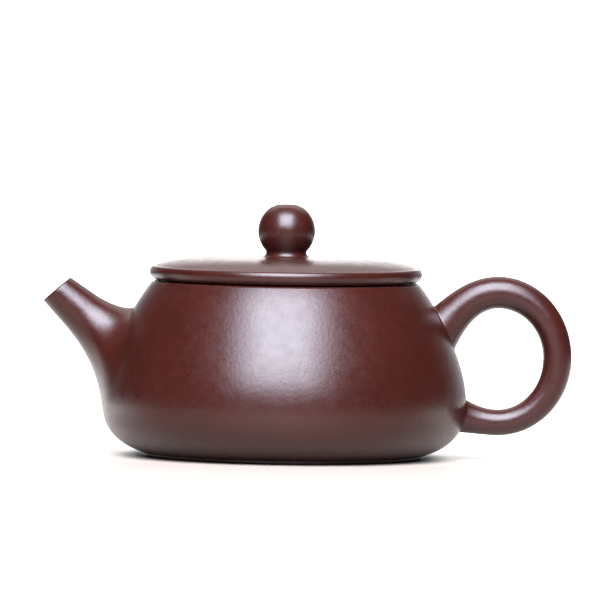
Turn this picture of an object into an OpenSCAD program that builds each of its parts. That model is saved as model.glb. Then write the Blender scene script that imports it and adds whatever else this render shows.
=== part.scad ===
// Clay teapot with a pressed lid that overhangs the mouth, a short flared spout and a round loop handle.
// Origin: centre of the foot, on the table. +Z up, spout towards -X, handle towards +X.
// The pieces are luted together before firing: eight of them become the pot and four the lid.

/* [Body] */
// Radius of the belly at its widest
belly_r = 51.8; // [50:0.1:53]
// Height of the widest line above the table
belly_z = 15.5; // [14:0.5:18]
// Height of the body's top edge
body_h = 49.8; // [49:0.1:50.4]
// Outer radius of the body's top edge
mouth_edge_r = 37.8; // [37:0.1:38.2]
// Slope of the shoulder at the top edge, from the vertical
shoulder_lean = 38; // [34:1:40]
// Outer radius where the wall meets the flat base
base_r = 40; // [38:0.5:42]
// Thickness of the clay slabs
wall = 3; // [2.5:0.1:3.5]

/* [Foot] */
// Height of the foot ring
foot_h = 1; // [0.8:0.1:2]
// Outer radius of the foot ring
foot_r = 39; // [37:0.5:39.5]
// Width of the foot ring
foot_w = 3.6; // [3:0.1:5]

/* [Mouth] */
// Clear radius of the mouth
mouth_r = 33.2; // [32:0.1:34]
// Thickness of the ring that lines the mouth
mouth_ring_t = 2.2; // [1.8:0.1:2.6]
// Depth of the ring that lines the mouth
mouth_ring_h = 5; // [4:0.1:6]
// Height of the seat above the body's top edge
seat_rise = 0.3; // [0.2:0.05:0.6]

/* [Lid] */
// Largest radius of the lid's rim
lid_r = 38.7; // [38.2:0.1:40]
// Thickness of the lid's rim
rim_t = 3.9; // [3.5:0.1:4.3]
// Rise of the domed top above the rim's upper edge
dome_rise = 2.8; // [2.4:0.1:3.2]
// Depth of the flange below the seat
flange_depth = 8.7; // [6:0.1:10]
// Thickness of the flange
flange_t = 2.5; // [2:0.1:3]
// Gap between the flange and the mouth, on the radius
lid_gap = 0.3; // [0.2:0.05:0.5]

/* [Knob] */
// Radius of the knob's ball
knob_r = 8.1; // [7.8:0.1:9]
// Radius of the neck under the ball
neck_r = 5.75; // [5:0.05:6]
// Height of the neck's narrowest line above the lid's top
neck_z = 1.6; // [1.5:0.1:1.8]
// Radius of the steam hole through the knob and the lid
steam_r = 1.2; // [0.8:0.1:1.5]

/* [Spout] */
// Distance from the pot's axis to the centre of the spout's tip
spout_reach = 65.1; // [64:0.1:67]
// Height of the centre of the spout's tip
spout_tip_z = 46.9; // [46:0.1:49]
// Slope of the spout's axis above the horizontal
spout_slope = 41.5; // [40:0.5:43]
// Further tilt of the tip's face
tip_tilt = 7.4; // [0:0.2:10]
// Outer radius at the tip
tip_r = 5.05; // [4.9:0.05:5.2]
// Radius of the bore at the tip
tip_bore_r = 3.1; // [2.6:0.1:3.2]
// Gain in outer radius per millimetre of tube
spout_taper = 0.12; // [0.1:0.01:0.16]
// Length of the plain tube before the flare
tube_len = 9; // [8:0.5:11]
// Height where the flare meets the body above
root_top_z = 42.3; // [41.5:0.1:43]
// Height where the flare meets the body below
root_bottom_z = 11; // [9:0.5:13]
// Half width of the flared root, as an angle round the pot
root_half_angle = 24; // [20:1:28]

/* [Strainer] */
// Outer radius of the strainer's dome
strainer_r = 10.5; // [10:0.1:11]
// Thickness of the dome
strainer_t = 1.9; // [1.5:0.1:2.2]
// Radius of each hole
strainer_hole_r = 0.9; // [0.7:0.1:1]
// Rings of holes round the middle one
strainer_rings = 2; // [1:1:2]

/* [Handle] */
// Distance from the pot's axis to the handle's crown
crown_x = 60.6; // [60:0.1:61]
// Height of the crown's top
crown_z = 52.2; // [51:0.1:53]
// Distance from the pot's axis to the back of the handle
handle_reach = 81.5; // [79:0.1:83]
// Height of the lowest point of the handle
handle_bottom_z = 7; // [6:0.1:8]
// Thickness at the crown
crown_t = 9.1; // [8.5:0.1:9.5]
// Thickness at the back
back_t = 8.1; // [7.8:0.1:8.6]
// Thickness at the bottom
bottom_t = 7.4; // [7:0.1:8]

/* [Hidden] */

clay = [0.37, 0.19, 0.17];
dark_clay = [0.30, 0.15, 0.13];

round_fn = 128;       // segments of every turned piece
circle_pull = 0.5523; // length of a Bezier handle that draws a quarter circle of radius 1

// ---- the body's contour, as (radius, height) ----

shoulder_pull = 12;   // how far the shoulder keeps its slope from the top edge down
belly_pull_up = 10;   // how far the belly stays upright above its widest line
belly_pull_down = 7;
base_pull = 9;        // how far the lower curve keeps its slope from the base up
base_slope = 17.5;    // slope of the lower curve where it meets the base
top_disc_drop = 3;    // height of the body that belongs to the top disc
edge_round = 0.5;     // radius that softens the clay's edges
contour_steps = 14;   // segments of each of the contour's two curves

function bezier(p, t) =
    pow(1 - t, 3) * p[0] + 3 * pow(1 - t, 2) * t * p[1] + 3 * (1 - t) * t * t * p[2] + pow(t, 3) * p[3];

function bezier_direction(p, t) =
    let (d = pow(1 - t, 2) * (p[1] - p[0]) + 2 * (1 - t) * t * (p[2] - p[1]) + t * t * (p[3] - p[2]))
    d / norm(d);

function arc(centre, radius, from, to, steps = 6) =
    [for (i = [0:steps]) let (a = from + (to - from) * i / steps) centre + radius * [cos(a), sin(a)]];

lower_curve = [
    [base_r, foot_h],
    [base_r, foot_h] + base_pull * [cos(base_slope), sin(base_slope)],
    [belly_r, belly_z - belly_pull_down],
    [belly_r, belly_z]
];
upper_curve = [
    [belly_r, belly_z],
    [belly_r, belly_z + belly_pull_up],
    [mouth_edge_r, body_h] + shoulder_pull * [sin(shoulder_lean), -cos(shoulder_lean)],
    [mouth_edge_r, body_h]
];

// The contour runs from the base, at 0, through the belly, at 1, to the top edge, at 2.
function contour(u) = u < 1 ? bezier(lower_curve, u) : bezier(upper_curve, u - 1);

function contour_direction(u) =
    u < 1 ? bezier_direction(lower_curve, u) : bezier_direction(upper_curve, u - 1);

function inner_contour(u) = let (d = contour_direction(u)) contour(u) - wall * [d[1], -d[0]];

function contour_at(z, low = 0, high = 2, steps = 24) =
    let (middle = (low + high) / 2)
    steps == 0 ? middle
    : contour(middle)[1] < z ? contour_at(z, middle, high, steps - 1)
    : contour_at(z, low, middle, steps - 1);

wall_top = contour_at(body_h - top_disc_drop);
wall_stations = [for (i = [0:2 * contour_steps]) wall_top * i / (2 * contour_steps)];

floor_edge = inner_contour(0);

module turned(points) {
    rotate_extrude($fn = round_fn) polygon(points);
}

// A turned ring of rectangular section whose edges may be softened.
module ring(r_in, r_out, z_low, z_high, top_round = edge_round, bottom_round = edge_round) {
    turned(concat(
        arc([r_in + bottom_round, z_low + bottom_round], bottom_round, 180, 270),
        arc([r_out - bottom_round, z_low + bottom_round], bottom_round, 270, 360),
        arc([r_out - top_round, z_high - top_round], top_round, 0, 90),
        arc([r_in + top_round, z_high - top_round], top_round, 90, 180)
    ));
}

module foot_ring() {
    color(dark_clay)
        turned(concat(
            [[foot_r - foot_w, foot_h], [foot_r - foot_w, 0]],
            arc([foot_r - edge_round, edge_round], edge_round, 270, 360),
            [[foot_r, foot_h]]
        ));
}

module base_disc() {
    color(dark_clay)
        turned([[0, foot_h], [base_r, foot_h], floor_edge, [0, floor_edge[1]]]);
}

module body_wall() {
    color(clay)
        difference() {
            turned(concat(
                [for (u = wall_stations) contour(u)],
                [for (i = [len(wall_stations) - 1:-1:0]) inner_contour(wall_stations[i])]
            ));
            spout_bore();
        }
}

// ---- the mouth ----

seat_z = body_h + seat_rise;
mouth_ring_r = mouth_r + mouth_ring_t;
disc_under_z = body_h - wall;

module top_disc() {
    edge_steps = 4;
    edge_top = contour_at(body_h - edge_round);
    color(clay)
        turned(concat(
            [for (i = [0:edge_steps]) contour(wall_top + (edge_top - wall_top) * i / edge_steps)],
            [[mouth_edge_r - edge_round, body_h], [mouth_ring_r, body_h], [mouth_ring_r, disc_under_z]],
            [inner_contour(wall_top)]
        ));
}

module mouth_ring() {
    color(clay)
        ring(mouth_r, mouth_ring_r, seat_z - mouth_ring_h, seat_z, top_round = 0.25);
}

// ---- the lid ----

rim_edge_r = lid_r - 1.2;             // radius of the crisp line round the lid's top
rim_edge_z = seat_z + rim_t;
rim_belly_z = rim_edge_z - 1.6;       // height where the rim's rounded face is widest
rim_lower_r = lid_r - 2.2;            // centre of the long curve under that height
lid_top_z = rim_edge_z + dome_rise;
flange_r = mouth_r - lid_gap;
knob_foot_r = 7;                      // radius that the fillet round the knob's foot spreads to
dome_power = 4.4;                     // how flat the dome is in the middle
dome_steps = 14;

function dome_z(r) =
    lid_top_z - dome_rise * pow(max(0, r - knob_foot_r) / (rim_edge_r - knob_foot_r), dome_power);

function under_z(r) = dome_z(r) - wall;

dome_radii = concat(
    [steam_r],
    [for (i = [0:dome_steps]) knob_foot_r + (rim_edge_r - knob_foot_r) * i / dome_steps]
);

module lid_plate() {
    color(clay)
        turned(concat(
            [for (r = dome_radii) [r, dome_z(r)]],
            [for (i = [len(dome_radii) - 1:-1:0]) [dome_radii[i], under_z(dome_radii[i])]]
        ));
}

// A quarter of an oval with the given half axes.
function quarter_oval(centre, half, from, steps = 8) =
    [for (p = arc([0, 0], 1, from, from + 90, steps)) centre + [half[0] * p[0], half[1] * p[1]]];

module lid_rim() {
    color(clay)
        turned(concat(
            [[flange_r, under_z(flange_r)], [flange_r, seat_z]],
            quarter_oval([rim_lower_r, rim_belly_z], [lid_r - rim_lower_r, rim_belly_z - seat_z], -90),
            quarter_oval([rim_edge_r, rim_belly_z], [lid_r - rim_edge_r, rim_edge_z - rim_belly_z], 0),
            [for (i = [dome_steps:-1:0])
                let (r = dome_radii[i + 1])
                if (r > flange_r) [r, under_z(r)]]
        ));
}

module lid_flange() {
    flange_in = flange_r - flange_t;
    flange_low = seat_z - flange_depth;
    color(dark_clay)
        turned(concat(
            [[flange_in, under_z(flange_in)]],
            arc([flange_in + edge_round, flange_low + edge_round], edge_round, 180, 270),
            arc([flange_r - edge_round, flange_low + edge_round], edge_round, 270, 360),
            [[flange_r, under_z(flange_r)]]
        ));
}

// ---- the knob ----

ball_z = lid_top_z + 7.5;             // height of the ball's centre
ball_flat_z = ball_z + 7.55;          // height of the flat round the steam hole
ball_flat_a = asin((ball_flat_z - ball_z) / knob_r);
ball_low_a = -acos((neck_r + 0.2) / knob_r);

module knob() {
    fillet_steps = 6;
    neck = [neck_r, lid_top_z + neck_z];
    fillet = [neck, neck - [0, 0.7], [neck_r + 0.3, lid_top_z + 0.1], [knob_foot_r, lid_top_z]];
    color(clay)
        turned(concat(
            [[steam_r, lid_top_z], [steam_r, ball_flat_z]],
            arc([0, ball_z], knob_r, ball_flat_a, ball_low_a, 20),
            [for (i = [0:fillet_steps]) bezier(fillet, i / fillet_steps)]
        ));
}

// ---- the spout ----

spout_axis = [cos(spout_slope), 0, -sin(spout_slope)]; // from the tip into the pot
spout_tip = [-spout_reach, 0, spout_tip_z];
bore_end = 27;        // distance down the axis to where the bore is inside the wall
bore_end_r = 7.4;     // radius of the bore there
spout_sides = 36;
tube_steps = 4;
flare_steps = 14;
back_steps = 5;       // rings that close the root along the body's surface
root_mid_z = (root_top_z + root_bottom_z) / 2;
root_half_z = (root_top_z - root_bottom_z) / 2;

// Lengths of the Bezier handles at the flare's two ends: above, at the sides and below.
tube_pull = [6, 9, 15.5];
root_pull = [1.5, 8, 4.5];

// An angle round the spout is 0 at the top and 180 at the bottom.
function blend_pull(pull, a) =
    let (up = max(0, cos(a)), down = max(0, -cos(a)))
    pull[0] * up * up + pull[1] * sin(a) * sin(a) + pull[2] * down * down;

function tube_radial(s, a) =
    let (lean = spout_slope + tip_tilt * max(0, 1 - s / tube_len))
    cos(a) * [sin(lean), 0, cos(lean)] + sin(a) * [0, 1, 0];

function tube_point(s, a) = spout_tip + s * spout_axis + (tip_r + spout_taper * s) * tube_radial(s, a);

// A point on the body's outer surface, k of the way from the root's middle to its edge.
function root_point(k, a) =
    let (
        z = root_mid_z + k * root_half_z * cos(a),
        r = contour(contour_at(z))[0],
        turn = 180 - k * root_half_angle * sin(a)
    )
    [r * cos(turn), r * sin(turn), z];

function flare_point(t, a) =
    let (
        away = root_point(1, a) - root_point(0.98, a),
        tube_way = spout_axis + spout_taper * tube_radial(tube_len, a)
    )
    bezier([
        tube_point(tube_len, a),
        tube_point(tube_len, a) + blend_pull(tube_pull, a) * tube_way / norm(tube_way),
        root_point(1, a) - blend_pull(root_pull, a) * away / norm(away),
        root_point(1, a)
    ], t);

side_angles = [for (i = [0:spout_sides - 1]) 360 * i / spout_sides];

spout_rings = concat(
    [for (i = [0:tube_steps - 1]) [for (a = side_angles) tube_point(tube_len * i / tube_steps, a)]],
    [for (i = [0:flare_steps]) [for (a = side_angles) flare_point(i / flare_steps, a)]],
    [for (i = [1:back_steps - 1]) [for (a = side_angles) root_point(1 - i / back_steps, a)]]
);

// A closed solid through rings of equal length, with a point at each end's middle.
module skin(rings, first, last) {
    n = len(rings[0]);
    m = len(rings);
    points = concat([for (r = rings) each r], [first, last]);
    sides = [for (j = [0:m - 2]) for (i = [0:n - 1]) let (k = (i + 1) % n, a = j * n, b = a + n)
        each [[a + i, a + k, b + k], [a + i, b + k, b + i]]];
    caps = [for (i = [0:n - 1]) let (k = (i + 1) % n, b = (m - 1) * n)
        each [[m * n, k, i], [m * n + 1, b + i, b + k]]];
    polyhedron(points, concat(sides, caps));
}

module spout_bore() {
    lead = 2; // how far the cutter stands out of the tip
    growth = (bore_end_r - tip_bore_r) / bore_end;
    translate(spout_tip - lead * spout_axis)
        rotate([0, 90 + spout_slope, 0])
            cylinder(h = bore_end + lead + wall, r1 = tip_bore_r - growth * lead,
                     r2 = bore_end_r + growth * wall, $fn = 64);
}

module spout() {
    color(clay)
        difference() {
            skin(spout_rings, spout_tip, root_point(0, 0));
            spout_bore();
        }
}

// ---- the ball strainer ----

strainer_centre = spout_tip + bore_end * spout_axis;
strainer_dip = 25;    // how far the dome's middle points below the horizontal
ring_angle = 29;      // angle between one ring of holes and the next

// The space inside the wall at the strainer's height, which trims the dome to the wall's inner face.
module hollow_beside_strainer() {
    margin = 4;
    stations = [for (u = wall_stations)
        if (abs(inner_contour(u)[1] - strainer_centre[2]) < strainer_r + margin) inner_contour(u)];
    turned(concat([[0, stations[0][1]]], stations, [[0, stations[len(stations) - 1][1]]]));
}

module strainer() {
    hole_start = strainer_r - strainer_t - 1;
    color(dark_clay)
        difference() {
            intersection() {
                hollow_beside_strainer();
                translate(strainer_centre)
                    difference() {
                        sphere(strainer_r, $fn = 96);
                        sphere(strainer_r - strainer_t, $fn = 96);
                    }
            }
            translate(strainer_centre)
                rotate([0, 90 + strainer_dip, 0])
                    for (j = [0:strainer_rings]) {
                        holes = max(1, 6 * j);
                        for (i = [0:holes - 1])
                            rotate([0, ring_angle * j, 360 * i / holes])
                                translate([0, 0, hole_start])
                                    cylinder(h = strainer_t + 2, r = strainer_hole_r, $fn = 24);
                    }
        }
}

// ---- the handle ----

function on_body(z) = [contour(contour_at(z))[0], z];

upper_outer = on_body(43.4); // where the loop's outer edge leaves the shoulder
upper_inner = on_body(31.3);
lower_inner = on_body(17);
lower_outer = on_body(7.65);
back_z = 29;          // height of the handle's back
handle_sides = 28;
handle_steps = 12;    // rings on each quarter of the loop
end_bury = 1.6;       // how far the ends run into the wall before they are trimmed to it
crown_width = 9;      // widths of the section across the handle's plane
bottom_width = 7.4;
upper_root_width = 11;
lower_root_width = 9;

function polar(angle) = [cos(angle), sin(angle)];

// Four curves per edge, from the shoulder over the crown and the back to the lower joint.
function loop_edge(start, start_way, crown, back, bottom, end, end_way, reach) = [
    [start, start + reach[0] * start_way, crown - [reach[1], 0], crown],
    [crown, crown + [circle_pull * (back[0] - crown[0]), 0],
     back + [0, circle_pull * (crown[1] - back[1])], back],
    [back, back - [0, circle_pull * (back[1] - bottom[1])],
     bottom + [circle_pull * (back[0] - bottom[0]), 0], bottom],
    [bottom, bottom - [reach[2], 0], end - reach[3] * end_way, end]
];

outer_edge = loop_edge(upper_outer, polar(40), [crown_x, crown_z], [handle_reach, back_z],
                       [crown_x, handle_bottom_z], lower_outer, polar(180), [6, 8, 4, 3]);
inner_edge = loop_edge(upper_inner, polar(66), [crown_x, crown_z - crown_t],
                       [handle_reach - back_t, back_z], [crown_x, handle_bottom_z + bottom_t],
                       lower_inner, polar(152), [5, 6.5, 4, 2]);

edge_count = 4;
widths = [upper_root_width, crown_width, back_t, bottom_width, lower_root_width];

// The section's width eases from one named width to the next, quickly near the two joints.
function eased(t, quarter) = quarter == 0 ? 1 - pow(1 - t, 3) : quarter == 3 ? pow(t, 3) : t;

function handle_ring(quarter, t, shift = 0) =
    let (
        o = bezier(outer_edge[quarter], t),
        i = bezier(inner_edge[quarter], t),
        middle = (o + i) / 2,
        w = widths[quarter] + (widths[quarter + 1] - widths[quarter]) * eased(t, quarter)
    )
    [for (k = [0:handle_sides - 1]) let (a = 360 * k / handle_sides, p = middle + cos(a) * (o - i) / 2)
        [p[0] - shift, sin(a) * w / 2, p[1]]];

handle_rings = concat(
    [handle_ring(0, 0, end_bury)],
    [for (q = [0:edge_count - 1]) for (i = [0:handle_steps - 1]) handle_ring(q, i / handle_steps)],
    [handle_ring(edge_count - 1, 1), handle_ring(edge_count - 1, 1, end_bury)]
);

function ring_middle(r) = (r[0] + r[handle_sides / 2]) / 2;

// The body's outer form, which the handle's ends are trimmed to.
module body_form() {
    turned(concat([[0, foot_h]], [for (u = wall_stations) contour(u)], [[0, body_h - top_disc_drop]]));
}

module handle() {
    last = len(handle_rings) - 1;
    color(clay)
        difference() {
            skin(handle_rings, ring_middle(handle_rings[0]), ring_middle(handle_rings[last]));
            body_form();
        }
}

foot_ring();
base_disc();
body_wall();
top_disc();
mouth_ring();
spout();
strainer();
handle();
lid_rim();
lid_plate();
lid_flange();
knob();
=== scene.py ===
"""The looks of the clay teapot. Every piece is meshed here in metres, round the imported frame."""

import math

import bmesh
import bpy
import numpy as np
from mathutils import Matrix, Vector


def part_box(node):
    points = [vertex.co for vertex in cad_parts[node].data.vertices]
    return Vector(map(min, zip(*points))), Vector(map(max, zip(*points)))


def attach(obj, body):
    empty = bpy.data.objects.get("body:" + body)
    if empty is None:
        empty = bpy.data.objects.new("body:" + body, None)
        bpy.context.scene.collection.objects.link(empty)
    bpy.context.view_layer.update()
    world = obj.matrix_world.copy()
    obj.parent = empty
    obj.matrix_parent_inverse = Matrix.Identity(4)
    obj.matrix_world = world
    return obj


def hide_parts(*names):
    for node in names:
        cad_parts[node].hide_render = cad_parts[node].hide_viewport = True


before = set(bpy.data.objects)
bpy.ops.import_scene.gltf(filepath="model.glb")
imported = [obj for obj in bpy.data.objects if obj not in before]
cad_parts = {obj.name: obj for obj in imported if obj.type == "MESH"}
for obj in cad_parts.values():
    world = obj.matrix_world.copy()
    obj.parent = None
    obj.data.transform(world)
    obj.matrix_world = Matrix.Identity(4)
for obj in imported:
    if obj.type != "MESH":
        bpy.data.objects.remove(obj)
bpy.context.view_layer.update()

MM = 0.001
TURN_STEPS = 288      # vertices round every turned piece
SHARP_ANGLE = 40      # degrees; steeper edges are shaded sharp


# ---- sizes, from the frame's boxes where a box gives them ----

def reach(node):
    """The radius of a turned node."""
    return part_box(node)[1].x


def top(node):
    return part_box(node)[1].z


def bottom(node):
    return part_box(node)[0].z


WALL = 3 * MM

# The body's contour, as (radius, height). A pull is the length of a Bezier handle.
BELLY = np.array([reach("body_wall"), 15.5 * MM])
BASE = np.array([reach("base_disc"), bottom("base_disc")])
BODY_TOP = np.array([37.8 * MM, top("top_disc")])
SHOULDER_LEAN = 38    # degrees from the vertical
SHOULDER_PULL = 12 * MM
BELLY_PULL_UP = 10 * MM
BELLY_PULL_DOWN = 7 * MM
BASE_SLOPE = 17.5     # degrees from the horizontal
BASE_PULL = 9 * MM
TOP_DISC_DROP = 3 * MM

# The foot and the mouth.
FOOT_R = reach("foot_ring")
FOOT_W = 3.6 * MM
MOUTH_R = 33.2 * MM
MOUTH_RING_R = reach("mouth_ring")
SEAT_Z = top("mouth_ring")

# The lid: RIM_EDGE is the crisp line round its top, and RIM_LOWER_R the middle of the rim's long curve.
LID_R = reach("lid_rim")
LID_TOP = top("lid_plate")
RIM_EDGE = np.array([LID_R - 1.2 * MM, SEAT_Z + 3.9 * MM])
RIM_BELLY_Z = RIM_EDGE[1] - 1.6 * MM
RIM_LOWER_R = LID_R - 2.2 * MM
FLANGE_R = reach("lid_flange")
FLANGE_T = 2.5 * MM
DOME_POWER = 4.4      # how flat the dome is in the middle

# The knob, a ball on a neck.
KNOB_R = reach("knob")
KNOB_TOP = top("knob")
KNOB_FOOT_R = 7 * MM
BALL_Z = KNOB_TOP - 7.55 * MM
NECK = np.array([5.75 * MM, LID_TOP + 1.6 * MM])
STEAM_R = 1.2 * MM


# ---- curves ----

def polar(degrees):
    a = math.radians(degrees)
    return np.array([math.cos(a), math.sin(a)])


def unit(v):
    return v / np.linalg.norm(v, axis=-1, keepdims=True)


def bezier(p, t):
    """Points of a cubic Bezier curve at each value of t."""
    t = np.asarray(t, float)[..., None]
    return (1 - t) ** 3 * p[0] + 3 * (1 - t) ** 2 * t * p[1] + 3 * (1 - t) * t * t * p[2] + t ** 3 * p[3]


def bezier_way(p, t):
    """The unit direction of the same curve."""
    t = np.asarray(t, float)[..., None]
    return unit((1 - t) ** 2 * (p[1] - p[0]) + 2 * (1 - t) * t * (p[2] - p[1]) + t * t * (p[3] - p[2]))


def oval(centre, half, start, end, steps):
    """Part of an oval with the given half axes, from one angle to another."""
    a = np.radians(np.linspace(start, end, steps + 1))
    return np.stack([centre[0] + half[0] * np.cos(a), centre[1] + half[1] * np.sin(a)], axis=1)


def softened(before, corner, after, length, steps=5):
    """A corner rounded off over a length on each of its two sides."""
    a = corner + length * unit(before - corner)
    b = corner + length * unit(after - corner)
    t = np.linspace(0, 1, steps + 1)[:, None]
    return (1 - t) ** 2 * a + 2 * (1 - t) * t * corner + t * t * b


def soft_outline(corners):
    """A closed (radius, height) outline through corners given as (radius, height, rounding length)."""
    points = [np.array(c[:2], float) for c in corners]
    parts = []
    for i, corner in enumerate(corners):
        before, after = points[i - 1], points[(i + 1) % len(points)]
        parts.append(softened(before, points[i], after, corner[2]) if corner[2] else points[i][None])
    return np.concatenate(parts)


# ---- the body's contour, the same curves as the frame's ----

LOWER = [BASE, BASE + BASE_PULL * polar(BASE_SLOPE), BELLY - [0, BELLY_PULL_DOWN], BELLY]
UPPER = [BELLY, BELLY + [0, BELLY_PULL_UP], BODY_TOP - SHOULDER_PULL * polar(90 + SHOULDER_LEAN), BODY_TOP]


def on_contour(curve, u):
    """What curve gives at u, where 0 is the base, 1 the belly's widest line and 2 the top edge."""
    u = np.atleast_1d(np.asarray(u, float))
    return np.where(u[:, None] < 1, curve(LOWER, np.clip(u, 0, 1)), curve(UPPER, np.clip(u - 1, 0, 1)))


def contour(u):
    """Points of the body's outer contour."""
    return on_contour(bezier, u)


def inner_contour(u):
    """Points a wall's thickness inside the outer contour."""
    way = on_contour(bezier_way, u)
    return contour(u) - WALL * np.stack([way[:, 1], -way[:, 0]], axis=1)


STATIONS = np.linspace(0, 2, 2001)
OUTER_LINE = contour(STATIONS)
WALL_TOP = float(np.interp(BODY_TOP[1] - TOP_DISC_DROP, OUTER_LINE[:, 1], STATIONS))


def body_radius(z):
    return np.interp(z, OUTER_LINE[:, 1], OUTER_LINE[:, 0])


def on_body(turn, z, depth=0.0):
    """Points on the body's surface or a depth under it, at angles round the pot (radians) and heights."""
    r = body_radius(z) - depth
    return np.stack([r * np.cos(turn), r * np.sin(turn), z], axis=-1)


def outside_body(points):
    """How far each point is outside the body's surface, along the radius."""
    return np.hypot(points[..., 0], points[..., 1]) - body_radius(points[..., 2])


def crossings(near, far, steps=30):
    """Where the lines from points inside the body, near, to points outside it, far, meet its surface."""
    low = np.zeros(len(near))
    high = np.ones(len(near))
    for _ in range(steps):
        middle = (low + high) / 2
        inside = outside_body(near + middle[:, None] * (far - near)) < 0
        low = np.where(inside, middle, low)
        high = np.where(inside, high, middle)
    return near + high[:, None] * (far - near)


# ---- meshes ----

# Waves of the clay's surface: share of the amount, waves round the pot, radians per metre up, and start.
SWELL_WAVES = ((0.5, 2, 40, 0.7), (0.35, 3, -95, -1.9), (0.3, 5, 170, 2.2), (0.22, 9, -260, 0),
               (0.16, 14, 310, 0.4))
LIFT_WAVES = ((0.2, 2, 0, 1.1), (0.125, 5, 0, -0.6))
EVEN_R = 10 * MM      # the unevenness fades out from here to the axis
LEVEL_Z = 5 * MM      # under this height nothing is lifted, so the foot stays flat


def uneven(points, amount):
    """Moves points by the slow unevenness of a hand-finished pot, out from the axis and up."""
    x, y, z = points.T
    turn = np.arctan2(y, x)

    def waves(table):
        return sum(share * np.sin(count * turn + rise * z + start) for share, count, rise, start in table)

    r = np.maximum(np.hypot(x, y), 1e-9)
    size = amount * np.clip(r / EVEN_R, 0, 1)
    swell = size * waves(SWELL_WAVES)
    lift = size * waves(LIFT_WAVES) * (z > LEVEL_Z)
    return points + np.stack([swell * x / r, swell * y / r, lift], axis=1)


def revolve(outline, steps=TURN_STEPS):
    """The closed (radius, height) outline turned round Z, as points and faces."""
    turns = 2 * math.pi * np.arange(steps) / steps
    points, rings, count = [], [], 0
    for r, z in outline:
        on_axis = r < 1e-7
        ring = np.array([[0, 0, z]]) if on_axis else np.stack(
            [r * np.cos(turns), r * np.sin(turns), np.full(steps, z)], axis=1)
        points.append(ring)
        rings.append(np.full(steps, count) if on_axis else count + np.arange(steps))
        count += len(ring)
    faces = []
    for a, b in zip(rings, rings[1:] + rings[:1]):
        for i in range(steps):
            k = (i + 1) % steps
            corners = dict.fromkeys([int(a[i]), int(a[k]), int(b[k]), int(b[i])])
            if len(corners) > 2:
                faces.append(list(corners))
    return np.concatenate(points), faces


def loft(rings, joined=False):
    """A closed skin through rings of points: joined end to end, or capped at both ends."""
    n = len(rings[0])
    faces = []
    for j in range(len(rings) - (0 if joined else 1)):
        a, b = j * n, (j + 1) % len(rings) * n
        faces += [[a + i, a + (i + 1) % n, b + (i + 1) % n, b + i] for i in range(n)]
    points = np.concatenate(rings)
    if not joined:
        last = (len(rings) - 1) * n
        middles = np.stack([rings[0].mean(axis=0), rings[-1].mean(axis=0)])
        points = np.concatenate([points, middles])
        faces += [[len(rings) * n, (i + 1) % n, i] for i in range(n)]
        faces += [[len(rings) * n + 1, last + i, last + (i + 1) % n] for i in range(n)]
    return points, faces


def new_object(name, points, faces):
    mesh = bpy.data.meshes.new(name)
    mesh.from_pydata([tuple(p) for p in points], [], faces)
    work = bmesh.new()
    work.from_mesh(mesh)
    bmesh.ops.recalc_face_normals(work, faces=work.faces)
    work.to_mesh(mesh)
    work.free()
    obj = bpy.data.objects.new(name, mesh)
    bpy.context.scene.collection.objects.link(obj)
    return obj


def cut(obj, cutter):
    """Takes the cutter's volume out of the object, and removes the cutter."""
    modifier = obj.modifiers.new("cut", "BOOLEAN")
    modifier.operation = "DIFFERENCE"
    modifier.solver = "EXACT"
    modifier.object = cutter
    bpy.context.view_layer.update()
    evaluated = obj.evaluated_get(bpy.context.evaluated_depsgraph_get())
    mesh = bpy.data.meshes.new_from_object(evaluated)
    mesh.name = obj.data.name
    obj.modifiers.remove(modifier)
    obj.data = mesh
    bpy.data.objects.remove(cutter)


def near_circle(circle, width):
    """How near points are to a circle round the axis, given as (radius, height). It is 1 on the circle."""
    def nearness(points):
        r = np.hypot(points[:, 0], points[:, 1])
        return np.exp(-((r - circle[0]) ** 2 + (points[:, 2] - circle[1]) ** 2) / width ** 2)
    return nearness


def finish_piece(obj, node, body, material, wear=None):
    """Shades a piece and puts it in place of its CAD node. wear gives each point's polish, from 0 to 1."""
    if wear:
        points = np.array([v.co for v in obj.data.vertices], float)
        polish = obj.data.attributes.new("wear", "FLOAT", "POINT")
        polish.data.foreach_set("value", wear(points).astype(np.float32))
    obj.data.shade_smooth()
    obj.data.set_sharp_from_angle(angle=math.radians(SHARP_ANGLE))
    obj.data.materials.clear()
    obj.data.materials.append(material)
    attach(obj, body)
    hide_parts(node)
    return obj


# ---- materials ----

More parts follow.
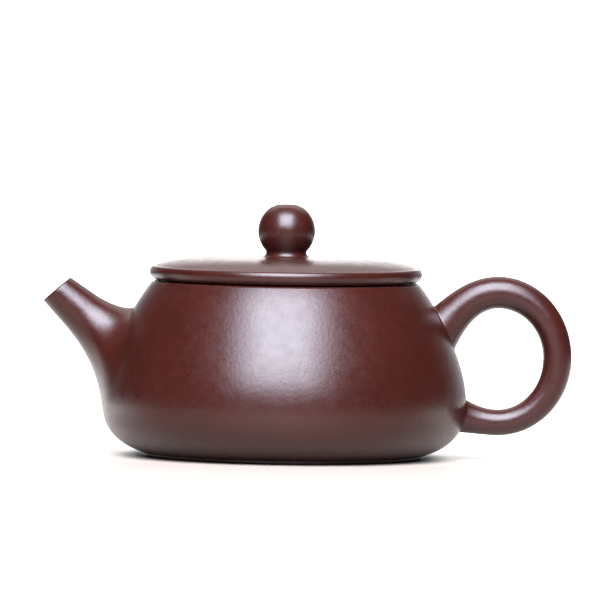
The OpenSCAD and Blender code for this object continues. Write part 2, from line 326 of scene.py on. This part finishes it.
class Nodes:
    """A short way to write a node tree."""

    def __init__(self, tree):
        self.tree = tree
        tree.nodes.clear()

    def add(self, kind, inputs=None, **settings):
        node = self.tree.nodes.new(kind)
        for name, value in settings.items():
            setattr(node, name, value)
        for name, value in (inputs or {}).items():
            if isinstance(value, bpy.types.NodeSocket):
                self.tree.links.new(value, node.inputs[name])
            else:
                node.inputs[name].default_value = value
        return node

    def noise(self, where, scale, detail=2.0, roughness=0.5):
        node = self.add("ShaderNodeTexNoise", {"Vector": where, "Scale": scale, "Detail": detail,
                                               "Roughness": roughness})
        return node.outputs["Fac"]

    def spread(self, value, low, high, to_low, to_high):
        node = self.add("ShaderNodeMapRange", {"Value": value, "From Min": low, "From Max": high,
                                               "To Min": to_low, "To Max": to_high})
        return node.outputs["Result"]

    def math(self, operation, *values):
        return self.add("ShaderNodeMath", dict(enumerate(values)), operation=operation).outputs[0]

    def sum(self, first, second):
        return self.math("ADD", first, second)

    def times(self, first, second):
        return self.math("MULTIPLY", first, second)

    def cells(self, where, scale, channel):
        """A random number for each cell of space, and the distance from the cell's point."""
        node = self.add("ShaderNodeTexVoronoi", {"Vector": where, "Scale": scale, "Randomness": 1.0})
        split = self.add("ShaderNodeSeparateColor", {"Color": node.outputs["Color"]})
        return split.outputs[channel], node.outputs["Distance"]

    def mixed(self, factor, first, second):
        node = self.add("ShaderNodeMix", {"Factor": factor}, data_type="RGBA")
        for socket, value in ((node.inputs[6], first), (node.inputs[7], second)):
            if isinstance(value, bpy.types.NodeSocket):
                self.tree.links.new(value, socket)
            else:
                socket.default_value = (*value, 1)
        return node.outputs[2]


# Scales of the patterns, in cells per metre.
MOTTLE_SCALE = 60
TONE_SCALE = 900
SPECK_SCALE = 520
SHEEN_SCALE = 350
GRAIN_SCALE = 2600
RIPPLE_SCALE = 900
DENT_SCALE = 95
DENT_FLATTENING = (1.0, 1.0, 2.6)     # dents are wider than they are high
DENT_SHARE = 0.05


def chosen(n, drawn, share):
    """1 in a share of the cells and 0 in the rest, from the cells' random numbers."""
    return n.spread(drawn, 1 - share, 1 - share + 0.01, 0, 1)


def specks(n, where, share):
    """Grains of sand: 1 in the middle of each, in a share of the cells."""
    drawn, distance = n.cells(where, SPECK_SCALE, "Red")
    return n.times(chosen(n, drawn, share), n.spread(distance, 0.05, 0.14, 1, 0))


def dents(n, where):
    """Small shallow dents: 1 in the middle of each."""
    flat = n.add("ShaderNodeVectorMath", {0: where, 1: DENT_FLATTENING}, operation="MULTIPLY")
    drawn, distance = n.cells(flat.outputs["Vector"], DENT_SCALE, "Green")
    return n.times(chosen(n, drawn, DENT_SHARE), n.spread(distance, 0.03, 0.13, 1, 0))


def clay_colour(n, where, shades, speck, edge):
    """Slow mottling, a finer tone, pale specks, and edges that hands and tools have polished lighter."""
    dark, mid, pale = shades
    mottle = n.spread(n.noise(where, MOTTLE_SCALE, 4, 0.6), 0.35, 0.65, 0, 1)
    tone = n.spread(n.noise(where, TONE_SCALE, 3, 0.7), 0.35, 0.75, 0, 0.55)
    colour = n.mixed(tone, n.mixed(mottle, dark, mid), mid)
    colour = n.mixed(n.times(speck, 0.5), colour, pale)
    return n.mixed(n.times(edge, 0.12), colour, pale)


def clay_bump(n, where, grain, speck):
    """Fine grain, the ripple that the burnishing tool leaves, pits at the specks, and a few dents."""
    fine = n.times(n.noise(where, GRAIN_SCALE, 2, 0.6), 0.6 * grain)
    ripple = n.times(n.noise(where, RIPPLE_SCALE, 3, 0.55), 2.9 * grain)
    pits = n.times(speck, -0.15 * grain)
    height = n.sum(n.sum(fine, ripple), n.sum(pits, n.times(dents(n, where), -grain)))
    return n.add("ShaderNodeBump", {"Strength": 1.0, "Distance": 1.0, "Height": height}).outputs["Normal"]


def clay_roughness(n, where, roughness, edge):
    """An uneven sheen, a little glossier on the polished edges."""
    sheen = n.noise(where, SHEEN_SCALE, 4, 0.65)
    return n.sum(n.spread(sheen, 0.3, 0.7, roughness - 0.04, roughness + 0.05), n.times(edge, -0.05))


def clay_material(name, shades, roughness, grain, speck_share):
    """Purple clay. shades are its dark, middle and speck colours, and grain the height of its bumps."""
    material = bpy.data.materials.new(name)
    material.use_nodes = True
    n = Nodes(material.node_tree)
    where = n.add("ShaderNodeTexCoord").outputs["Object"]
    edge = n.add("ShaderNodeAttribute", attribute_name="wear").outputs["Fac"]
    speck = specks(n, where, speck_share)
    shader = n.add("ShaderNodeBsdfPrincipled", {
        "Base Color": clay_colour(n, where, shades, speck, edge),
        "Roughness": clay_roughness(n, where, roughness, edge),
        "IOR": 1.45,
        "Normal": clay_bump(n, where, grain, speck),
    })
    n.add("ShaderNodeOutputMaterial", {"Surface": shader.outputs["BSDF"]})
    return material


GRAIN = 14e-6
CLAY = clay_material("burnished_clay", roughness=0.31, grain=GRAIN, speck_share=0.12,
                     shades=((0.0225, 0.0038, 0.0022), (0.0290, 0.0051, 0.0031), (0.10, 0.044, 0.034)))
RAW_CLAY = clay_material("raw_clay", roughness=0.6, grain=GRAIN, speck_share=0.3,
                         shades=((0.040, 0.0105, 0.0075), (0.052, 0.0140, 0.0100), (0.16, 0.09, 0.07)))

POT_UNEVEN = 0.045 * MM     # height of the hand-finished unevenness
LID_UNEVEN = 0.035 * MM


def turned_piece(node, outline, body, material=CLAY, wear=None):
    """A turned piece that takes the place of the CAD node of the same name."""
    points, faces = revolve(outline)
    points = uneven(points, POT_UNEVEN if body == "pot" else LID_UNEVEN)
    return finish_piece(new_object(node + "_clay", points, faces), node, body, material, wear)


# ---- the pot's turned pieces ----

LUTED = 0.4 * MM      # how far a piece goes into the one that it is luted to


def foot_ring():
    inner_r = FOOT_R - FOOT_W
    buried = BASE[1] + LUTED
    turned_piece("foot_ring", soft_outline([
        (inner_r, buried, 0),
        (inner_r, 0, 0.3 * MM),
        (FOOT_R, 0, 0.45 * MM),
        (FOOT_R, buried, 0),
    ]), "pot")


def base_disc():
    rings = 12
    floor_edge = inner_contour(0)[0]
    underside = [(r, BASE[1]) for r in np.linspace(0, BASE[0], rings)]
    upside = [(r, floor_edge[1]) for r in np.linspace(floor_edge[0], 0, rings)]
    turned_piece("base_disc", np.array(underside + upside), "pot")


def spout_bore_cutter():
    points, faces = loft([bore_ring(s) for s in (SPOUT_BORE_END + WALL, 0.3 * SPOUT_BORE_END)])
    return new_object("bore_cutter", points, faces)


def body_wall():
    stations = np.linspace(0, WALL_TOP, 110)
    outline = np.concatenate([contour(stations), inner_contour(stations[::-2])])
    points, faces = revolve(outline)
    wall = new_object("body_wall_clay", uneven(points, POT_UNEVEN), faces)
    cut(wall, spout_bore_cutter())
    finish_piece(wall, "body_wall", "pot", CLAY)


def top_disc():
    edge_soft = 0.6 * MM
    stations = np.linspace(WALL_TOP, 2 - 0.012, 14)
    skin = contour(stations)
    brow = softened(skin[-1], BODY_TOP, BODY_TOP - [5 * MM, 0], edge_soft)
    under = inner_contour(WALL_TOP)[0]
    ledge = np.array([[MOUTH_RING_R, BODY_TOP[1]], [MOUTH_RING_R, BODY_TOP[1] - WALL], under])
    turned_piece("top_disc", np.concatenate([skin[:-1], brow, ledge]), "pot",
                 wear=near_circle(BODY_TOP, 0.5 * MM))


def mouth_ring():
    low = bottom("mouth_ring")
    turned_piece("mouth_ring", soft_outline([
        (MOUTH_R, low, 0.6 * MM),
        (MOUTH_RING_R, low, 0.6 * MM),
        (MOUTH_RING_R, SEAT_Z, 0.3 * MM),
        (MOUTH_R, SEAT_Z, 0.35 * MM),
    ]), "pot")


# ---- the lid's turned pieces ----

def dome_z(r):
    share = np.maximum(0, r - KNOB_FOOT_R) / (RIM_EDGE[0] - KNOB_FOOT_R)
    return LID_TOP - (LID_TOP - RIM_EDGE[1]) * share ** DOME_POWER


PLATE_R = RIM_EDGE[0] - 0.5 * MM     # the plate's joint with the rim, just inside the rim's crisp line


def lid_plate():
    radii = np.linspace(STEAM_R, PLATE_R, 60)
    upside = np.stack([radii, dome_z(radii)], axis=1)
    underside = upside[::-1] - [0, WALL]
    turned_piece("lid_plate", np.concatenate([upside, underside]), "lid")


def lid_rim():
    under_flange = dome_z(FLANGE_R) - WALL
    lower = oval((RIM_LOWER_R, RIM_BELLY_Z), (LID_R - RIM_LOWER_R, RIM_BELLY_Z - SEAT_Z), -90, 0, 16)
    upper = oval((RIM_EDGE[0], RIM_BELLY_Z), (LID_R - RIM_EDGE[0], RIM_EDGE[1] - RIM_BELLY_Z), 0, 78, 14)
    inside = np.array([PLATE_R, dome_z(PLATE_R)])
    crisp = softened(upper[-1], RIM_EDGE, inside, 0.22 * MM)
    back = np.array([inside, [PLATE_R, inside[1] - WALL], [FLANGE_R, under_flange], [FLANGE_R, SEAT_Z]])
    turned_piece("lid_rim", np.concatenate([lower, upper, crisp, back]), "lid",
                 wear=near_circle(RIM_EDGE, 0.4 * MM))


def lid_flange():
    inner_r = FLANGE_R - FLANGE_T
    low = bottom("lid_flange")
    high = dome_z(FLANGE_R) - WALL + 0.3 * MM
    turned_piece("lid_flange", soft_outline([
        (inner_r, high, 0),
        (inner_r, low, 0.7 * MM),
        (FLANGE_R, low, 0.7 * MM),
        (FLANGE_R, high, 0),
    ]), "lid", RAW_CLAY)


def knob():
    flat_a = math.degrees(math.asin((KNOB_TOP - BALL_Z) / KNOB_R))
    low_a = -math.degrees(math.acos((NECK[0] + 0.2 * MM) / KNOB_R))
    ball = oval((0, BALL_Z), (KNOB_R, KNOB_R), low_a, flat_a - 4, 44)
    crown = np.array([KNOB_R * math.cos(math.radians(flat_a)), KNOB_TOP])
    crown_edge = softened(ball[-8], crown, crown - [2 * MM, 0], 1.2 * MM)
    hole_top = np.array([STEAM_R, KNOB_TOP])
    hole_low = np.array([STEAM_R, LID_TOP])
    hole = softened(crown - [1 * MM, 0], hole_top, hole_low, 0.45 * MM)
    fillet = np.array([NECK, NECK - [0, 0.7 * MM], [NECK[0] + 0.3 * MM, LID_TOP + 0.1 * MM],
                       [KNOB_FOOT_R, LID_TOP]])
    flare = bezier(fillet, np.linspace(1, 0, 14))
    neck = softened(flare[-2], NECK, ball[0], 0.12 * MM, 3)
    buried = LID_TOP - 0.3 * MM
    closing = np.array([[STEAM_R, buried], [KNOB_FOOT_R, buried]])
    turned_piece("knob", np.concatenate([flare[:-1], neck, ball[:-3], crown_edge, hole, closing]), "lid")


# ---- the spout ----

SPOUT_SLOPE = 41.5
TIP_TILT = 7.4
TIP_R = 5.05 * MM
TIP_BORE_R = 3.1 * MM
SPOUT_TAPER = 0.12
TUBE_LEN = 9 * MM
ROOT_TOP = 42.3 * MM
ROOT_BOTTOM = 11 * MM
ROOT_HALF_ANGLE = 24
SPOUT_BORE_END = 27 * MM
BORE_END_R = 7.4 * MM
TUBE_PULL = np.array([6, 9, 15.5]) * MM
ROOT_PULL = np.array([1.5, 8, 4.5]) * MM
SPOUT_AXIS = np.array([math.cos(math.radians(SPOUT_SLOPE)), 0, -math.sin(math.radians(SPOUT_SLOPE))])
SPOUT_TIP = np.array([-65.1 * MM, 0, 46.9 * MM])
SPOUT_SIDES = 128
SPOUT_TURNS = 2 * math.pi * np.arange(SPOUT_SIDES) / SPOUT_SIDES
SPOUT_UP = np.cos(SPOUT_TURNS)
SPOUT_SIDE = np.sin(SPOUT_TURNS)


def leaning(angle):
    """Unit vectors round the spout, in the plane across a way that leans by an angle in degrees."""
    a = math.radians(angle)
    return np.stack([SPOUT_UP * math.sin(a), SPOUT_SIDE, SPOUT_UP * math.cos(a)], axis=1)


def spout_ring(s, radius):
    """A ring round the spout's axis at a distance s from the tip, whose face leans a little more."""
    around = leaning(SPOUT_SLOPE + TIP_TILT * max(0, 1 - s / TUBE_LEN))
    return SPOUT_TIP + s * SPOUT_AXIS + radius * around


def tube_ring(s, inset=0.0):
    return spout_ring(s, TIP_R + SPOUT_TAPER * s - inset)


def bore_ring(s):
    return spout_ring(s, TIP_BORE_R + (BORE_END_R - TIP_BORE_R) * s / SPOUT_BORE_END)


def root_ring(k, depth=0.0):
    """A ring on the body's surface, k of the way from the root's middle to its edge."""
    z = (ROOT_TOP + ROOT_BOTTOM) / 2 + k * (ROOT_TOP - ROOT_BOTTOM) / 2 * SPOUT_UP
    turn = math.pi - k * math.radians(ROOT_HALF_ANGLE) * SPOUT_SIDE
    return on_body(turn, z, depth)


def blended(pull):
    """The Bezier handles' lengths round the spout, from those above, at the sides and below."""
    up, down = np.maximum(0, SPOUT_UP), np.maximum(0, -SPOUT_UP)
    return (pull[0] * up * up + pull[1] * SPOUT_SIDE ** 2 + pull[2] * down * down)[:, None]


def flare_rings(steps):
    start, end = tube_ring(TUBE_LEN), root_ring(1)
    tube_way = unit(SPOUT_AXIS + SPOUT_TAPER * leaning(SPOUT_SLOPE))
    away = unit(root_ring(1) - root_ring(0.98))
    curve = [start, start + blended(TUBE_PULL) * tube_way, end - blended(ROOT_PULL) * away, end]
    return [bezier(curve, np.full(SPOUT_SIDES, i / steps)) for i in range(steps + 1)]


def turn_of(points):
    """The angle of each point round the pot's axis, from 0 to a full turn."""
    return np.arctan2(points[:, 1], points[:, 0]) % (2 * math.pi)


def root_back(edge, hole):
    """Rings along the wall's skin from the buried edge of the root in to the edge of the bore."""
    turn, z = turn_of(edge), edge[:, 2]
    turn_in, z_in = turn_of(hole) - turn, hole[:, 2] - z
    return [on_body(turn + turn_in * k, z + z_in * k, 0.5 * MM) for k in (0.25, 0.5, 0.75, 1)]


def spout():
    lip = 0.4 * MM
    lip_turns = np.radians(np.linspace(90, 0, 6))
    outer_lip = [tube_ring(lip * (1 - math.sin(a)), lip * (1 - math.cos(a))) for a in lip_turns]
    tube = [tube_ring(s) for s in np.linspace(lip, TUBE_LEN, 14)[1:-1]]
    buried = [root_ring(0.985, 0.12 * MM), root_ring(0.95, 0.5 * MM)]
    bore_end = crossings(bore_ring(SPOUT_BORE_END), bore_ring(0))
    bore_start = bore_ring(0.5 * MM)
    bore = [bore_start + (bore_end - bore_start) * k for k in np.linspace(1, 0, 24)]
    inner_lip = 0.5 * (tube_ring(0, lip) + bore_ring(0))
    outside = outer_lip + tube + flare_rings(56) + buried
    points, faces = loft(outside + root_back(buried[-1], bore_end) + bore + [inner_lip], joined=True)
    piece = new_object("spout_clay", uneven(points, POT_UNEVEN), faces)
    finish_piece(piece, "spout", "pot", CLAY)


# ---- the handle ----

CROWN = np.array([60.6 * MM, top("handle")])
BACK = np.array([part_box("handle")[1].x, 29 * MM])
LOW_POINT = np.array([60.6 * MM, bottom("handle")])
CROWN_T = 9.1 * MM
BACK_T = 8.1 * MM
BOTTOM_T = 7.4 * MM
CIRCLE_PULL = 0.5523
HANDLE_WIDTHS = np.array([11, 9, 8.1, 7.4, 9]) * MM    # across the loop, where its four curves meet
JOINT_SIZE = 0.45 * MM     # how far the soft corner at each of the handle's joints spreads
HANDLE_SIDES = 72
HANDLE_TURNS = 2 * math.pi * np.arange(HANDLE_SIDES) / HANDLE_SIDES
HANDLE_STEPS = 36     # rings on each quarter of the loop


def joint_point(z):
    return np.array([float(body_radius(z)), z])


def loop_edge(start, start_way, crown, back, low, end, end_way, pulls):
    """One edge of the handle: four curves over the crown, the back and the lowest point."""
    p = np.array(pulls) * MM
    return [
        [start, start + p[0] * start_way, crown - [p[1], 0], crown],
        [crown, crown + [CIRCLE_PULL * (back[0] - crown[0]), 0],
         back + [0, CIRCLE_PULL * (crown[1] - back[1])], back],
        [back, back - [0, CIRCLE_PULL * (back[1] - low[1])],
         low + [CIRCLE_PULL * (back[0] - low[0]), 0], low],
        [low, low - [p[2], 0], end - p[3] * end_way, end],
    ]


OUTER_EDGE = loop_edge(joint_point(43.4 * MM), polar(40), CROWN, BACK, LOW_POINT,
                       joint_point(7.65 * MM), polar(180), [6, 8, 4, 3])
INNER_EDGE = loop_edge(joint_point(31.3 * MM), polar(66), CROWN - [0, CROWN_T], BACK - [BACK_T, 0],
                       LOW_POINT + [0, BOTTOM_T], joint_point(17 * MM), polar(152), [5, 6.5, 4, 2])


def handle_ring(quarter, t):
    outer = bezier(OUTER_EDGE[quarter], t)
    inner = bezier(INNER_EDGE[quarter], t)
    flared = {0: 1 - (1 - t) ** 3, 3: t ** 3}.get(quarter, t)
    width = HANDLE_WIDTHS[quarter] + (HANDLE_WIDTHS[quarter + 1] - HANDLE_WIDTHS[quarter]) * flared
    flat = (outer + inner) / 2 + np.cos(HANDLE_TURNS)[:, None] * (outer - inner) / 2
    return np.stack([flat[:, 0], np.sin(HANDLE_TURNS) * width / 2, flat[:, 1]], axis=1)


def along(rings, distance):
    """The points at a distance along each of the lines that run from ring to ring."""
    lines = np.stack(rings)
    steps = np.linalg.norm(np.diff(lines, axis=0), axis=2)
    run = np.concatenate([np.zeros((1, steps.shape[1])), np.cumsum(steps, axis=0)])
    return np.array([[np.interp(distance[i], run[:, i], lines[:, i, axis]) for axis in range(3)]
                     for i in range(steps.shape[1])])


def skin_distances(rings):
    """How far along each line from ring to ring it comes out of the body's skin."""
    low = np.zeros(HANDLE_SIDES)
    high = np.full(HANDLE_SIDES, 12 * MM)
    for _ in range(24):
        middle = (low + high) / 2
        inside = outside_body(along(rings, middle)) < 0
        low, high = np.where(inside, middle, low), np.where(inside, high, middle)
    return high


def joint_rings(rings, steps=8):
    """Rings from under the body's skin, over a soft corner and up the handle. rings start inside it."""
    emerging = skin_distances(rings)
    foot = along(rings, emerging)
    start = along(rings, emerging + JOINT_SIZE)
    clear = along(rings, emerging + 2.5 * JOINT_SIZE)
    out = unit(foot * [1, 1, 0])
    rim = np.roll(foot, -1, axis=0) - np.roll(foot, 1, axis=0)
    across = unit(np.cross(rim, out))
    across *= np.sign(np.sum(across * (foot - foot.mean(axis=0)), axis=1))[:, None]

    def on_skin(distance, depth=0.0):
        wide = foot + distance * across
        return on_body(np.arctan2(wide[:, 1], wide[:, 0]), wide[:, 2], depth)

    edge = on_skin(JOINT_SIZE)
    corner = [start, start + 0.6 * (foot - start), edge + 0.6 * (foot - edge), edge]
    fillet = [bezier(corner, np.full(HANDLE_SIDES, i / steps)) for i in range(steps, -1, -1)]
    buried = [on_skin(JOINT_SIZE, 0.8 * MM), on_skin(1.1 * JOINT_SIZE, 0.1 * MM)]
    return buried + fillet + [(start + clear) / 2, clear]


def handle():
    into_body = 4 * MM
    quarters = [handle_ring(q, i / HANDLE_STEPS) for q in range(4) for i in range(HANDLE_STEPS)]
    loop = quarters + [handle_ring(3, 1)]
    first_end = [loop[0] - into_body * unit(loop[1] - loop[0])] + loop[:HANDLE_STEPS]
    last_end = [loop[-1] - into_body * unit(loop[-2] - loop[-1])] + loop[:-HANDLE_STEPS:-1]
    free = [ring for ring in loop if outside_body(ring).min() > 3.2 * JOINT_SIZE]
    rings = joint_rings(first_end) + free + joint_rings(last_end)[::-1]
    points, faces = loft(rings)
    piece = new_object("handle_clay", uneven(points, POT_UNEVEN), faces)
    finish_piece(piece, "handle", "pot", CLAY)


# ---- the strainer ----

STRAINER_CENTRE = SPOUT_TIP + SPOUT_BORE_END * SPOUT_AXIS
STRAINER_R = 10.5 * MM
STRAINER_T = 1.9 * MM
STRAINER_HOLE_R = 0.9 * MM
STRAINER_DIP = 25
STRAINER_RING_ANGLE = 29
STRAINER_RINGS = 2


STRAINER_SIDES = 96
STRAINER_PLACE = (Matrix.Translation(Vector(STRAINER_CENTRE))
                  @ Matrix.Rotation(math.radians(90 + STRAINER_DIP), 4, "Y"))


def dome_ring(r, polar_angles):
    """A ring on a ball round the strainer's centre, at an angle from its axis for each point."""
    turns = 2 * math.pi * np.arange(STRAINER_SIDES) / STRAINER_SIDES
    wide = r * np.sin(polar_angles)
    local = np.stack([wide * np.cos(turns), wide * np.sin(turns), r * np.cos(polar_angles)], axis=1)
    return local @ np.array(STRAINER_PLACE.to_3x3()).T + np.array(STRAINER_PLACE.translation)


def dome_edge():
    """The angles from the strainer's axis at which its dome has sunk into the middle of the wall."""
    low = np.full(STRAINER_SIDES, math.radians(60))
    high = np.full(STRAINER_SIDES, math.radians(130))
    for _ in range(24):
        middle = (low + high) / 2
        open_air = outside_body(dome_ring(STRAINER_R, middle)) < -WALL / 2
        low, high = np.where(open_air, middle, low), np.where(open_air, high, middle)
    return low


def hole_cutter():
    """One hole at the dome's top, and rings of 6, 12 and so on round it."""
    holes = bmesh.new()
    outward = Matrix.Translation((0, 0, STRAINER_R - STRAINER_T / 2))
    for ring in range(STRAINER_RINGS + 1):
        lean = Matrix.Rotation(math.radians(STRAINER_RING_ANGLE * ring), 4, "Y")
        count = max(1, 6 * ring)
        for i in range(count):
            turn = Matrix.Rotation(2 * math.pi * i / count, 4, "Z")
            bmesh.ops.create_cone(holes, cap_ends=True, segments=32, radius1=STRAINER_HOLE_R,
                                  radius2=STRAINER_HOLE_R, depth=2.5 * STRAINER_T,
                                  matrix=STRAINER_PLACE @ turn @ lean @ outward)
    mesh = bpy.data.meshes.new("holes")
    holes.to_mesh(mesh)
    holes.free()
    cutter = bpy.data.objects.new("holes", mesh)
    bpy.context.scene.collection.objects.link(cutter)
    return cutter


def strainer():
    """A dome of clay on the wall behind the spout, pierced by rings of holes."""
    steps = 30
    inner_r = STRAINER_R - STRAINER_T
    edge = dome_edge()
    outer = [dome_ring(STRAINER_R, edge * i / steps) for i in range(1, steps + 1)]
    inner = [dome_ring(inner_r, edge * i / steps) for i in range(steps, 0, -1)]
    points, faces = loft(outer + inner)
    points[-2] = np.array(STRAINER_PLACE @ Vector((0, 0, STRAINER_R)))
    points[-1] = np.array(STRAINER_PLACE @ Vector((0, 0, inner_r)))
    dome = new_object("strainer_clay", points, faces)
    cut(dome, hole_cutter())
    finish_piece(dome, "strainer", "pot", RAW_CLAY)


for make in (foot_ring, base_disc, body_wall, top_disc, mouth_ring, spout, strainer, handle,
             lid_rim, lid_plate, lid_flange, knob):
    make()


# ---- the studio ----

CAMERA_AIM = Vector((4.07 * MM, 0, 44.7 * MM))
CAMERA_DISTANCE = 2.6
CAMERA_HEIGHT = 0.150
CAMERA_ROLL = 0.85          # degrees
SEEN_WIDTH = 170.55 * MM    # what the picture's width spans at the aim
SENSOR_WIDTH = 36           # millimetres, as Blender's lens settings want


def new_light_or_camera(name, data, location, rotation):
    obj = bpy.data.objects.new(name, data)
    bpy.context.scene.collection.objects.link(obj)
    obj.location = location
    obj.rotation_mode = "QUATERNION"
    obj.rotation_quaternion = rotation
    return obj


def camera():
    """A long lens from the front, a little above the pot, with the small roll of a hand-levelled camera."""
    data = bpy.data.cameras.new("camera")
    data.sensor_width = SENSOR_WIDTH
    data.lens = SENSOR_WIDTH * CAMERA_DISTANCE / SEEN_WIDTH
    data.clip_end = 60
    back = math.sqrt(CAMERA_DISTANCE ** 2 - (CAMERA_HEIGHT - CAMERA_AIM.z) ** 2)
    location = Vector((CAMERA_AIM.x, -back, CAMERA_HEIGHT))
    look = (CAMERA_AIM - location).to_track_quat("-Z", "Y")
    roll = Matrix.Rotation(math.radians(CAMERA_ROLL), 3, "Z").to_quaternion()
    bpy.context.scene.camera = new_light_or_camera("camera", data, location, look @ roll)


LIT_POINT = Vector((0, 0, 35 * MM))


def softbox(name, azimuth, elevation, distance, width, height, radiance, tint=(1, 1, 1)):
    """A soft light that faces the pot, from an azimuth where 0 is the front and 90 the right."""
    data = bpy.data.lights.new(name, "AREA")
    data.shape = "RECTANGLE"
    data.size = width
    data.size_y = height
    data.energy = radiance * math.pi * width * height
    data.color = tint
    a, e = math.radians(azimuth), math.radians(elevation)
    way = Vector((math.sin(a) * math.cos(e), -math.cos(a) * math.cos(e), math.sin(e)))
    obj = new_light_or_camera(name, data, LIT_POINT + distance * way, way.to_track_quat("Z", "Y"))
    obj.visible_camera = False


ROOM_LIGHT = 0.02     # radiance of the dark room round the lit backdrop


def studio_world():
    """What the glossy clay reflects: a white backdrop behind the pot, brightest low and straight behind,
    in a dark room. The camera itself sees plain white everywhere."""
    world = bpy.data.worlds.new("studio")
    bpy.context.scene.world = world
    world.use_nodes = True
    n = Nodes(world.node_tree)
    way = n.add("ShaderNodeSeparateXYZ", {0: n.add("ShaderNodeTexCoord").outputs["Generated"]})
    behind = n.spread(way.outputs["Y"], 0.68, 0.98, 0, 1)
    low = n.spread(way.outputs["Z"], 0.05, 0.50, 3.6, 0)
    above = n.spread(way.outputs["Z"], -0.12, 0.06, 0.1, 1)
    right = n.spread(way.outputs["X"], -0.4, 0.4, 0.85, 1.15)
    middle = n.spread(n.math("ABSOLUTE", way.outputs["X"]), 0.05, 0.30, 1.2, 0.3)
    backdrop = n.times(n.times(behind, n.times(middle, right)), n.times(low, above))
    seen = n.add("ShaderNodeLightPath").outputs["Is Camera Ray"]
    strength = n.math("MAXIMUM", n.sum(backdrop, ROOM_LIGHT), seen)
    light = n.add("ShaderNodeBackground", {"Color": (1, 1, 1, 1), "Strength": strength})
    n.add("ShaderNodeOutputWorld", {"Surface": light.outputs[0]})


FLOOR_R = 0.42
FLOOR_SIDES = 96
PAINTED_SHADOW_CENTRE = (0, 0.004, 0)     # the light comes from the front, so the painted contact shadow is centred a little behind the pot


def floor_material():
    """White, with a painted contact shadow: its colour goes dark close round the foot. It has a painted
    glow behind the pot, which lights up the pot's cast shadow, and far out, so that it runs into the white
    background."""
    material = bpy.data.materials.new("floor")
    material.use_nodes = True
    n = Nodes(material.node_tree)
    where = n.add("ShaderNodeTexCoord").outputs["Object"]
    far = n.add("ShaderNodeVectorMath", {0: where, 1: PAINTED_SHADOW_CENTRE}, operation="DISTANCE").outputs["Value"]
    back = n.spread(n.add("ShaderNodeSeparateXYZ", {0: where}).outputs["Y"], -0.04, 0.03, 0, 1.3)
    # painted contact shadow: the floor's colour goes dark close round the foot, and the painted glow is
    # held off there too
    painted_shadow = n.spread(far, 0.0415, 0.0475, 0, 1)
    # painted glow behind and beside the pot, which lights up the pot's cast shadow there
    near = n.times(n.times(n.spread(far, 0.05, 0.15, 0.5, 1), back), painted_shadow)
    shader = n.add("ShaderNodeBsdfPrincipled", {
        "Base Color": n.mixed(painted_shadow, (0.02, 0.017, 0.015), (0.33, 0.285, 0.235)),
        "Roughness": 0.6,
        "Emission Color": (1, 1, 1, 1),
        # painted glow: the emission behind the pot, plus a ramp far out that makes the floor read as white
        "Emission Strength": n.sum(near, n.spread(far, 0.15, 0.35, 0, 0.22)),
    })
    n.add("ShaderNodeOutputMaterial", {"Surface": shader.outputs["BSDF"]})
    return material


def floor():
    turns = 2 * math.pi * np.arange(FLOOR_SIDES) / FLOOR_SIDES
    edge = np.stack([FLOOR_R * np.cos(turns), FLOOR_R * np.sin(turns), np.zeros(FLOOR_SIDES)], axis=1)
    obj = new_object("floor", edge, [list(range(FLOOR_SIDES))])
    obj.data.materials.append(floor_material())


camera()
softbox("key", azimuth=-3, elevation=48, distance=1.5, width=1.55, height=1.65, radiance=11,
        tint=(0.84, 0.84, 1.0))
softbox("key_core", azimuth=-3, elevation=48, distance=1.45, width=0.95, height=1.2, radiance=15.5,
        tint=(0.80, 0.87, 1.0))
softbox("back", azimuth=180, elevation=50, distance=1.6, width=2.0, height=1.1, radiance=1.5)
studio_world()
floor()
bpy.context.scene.view_settings.view_transform = "Standard"
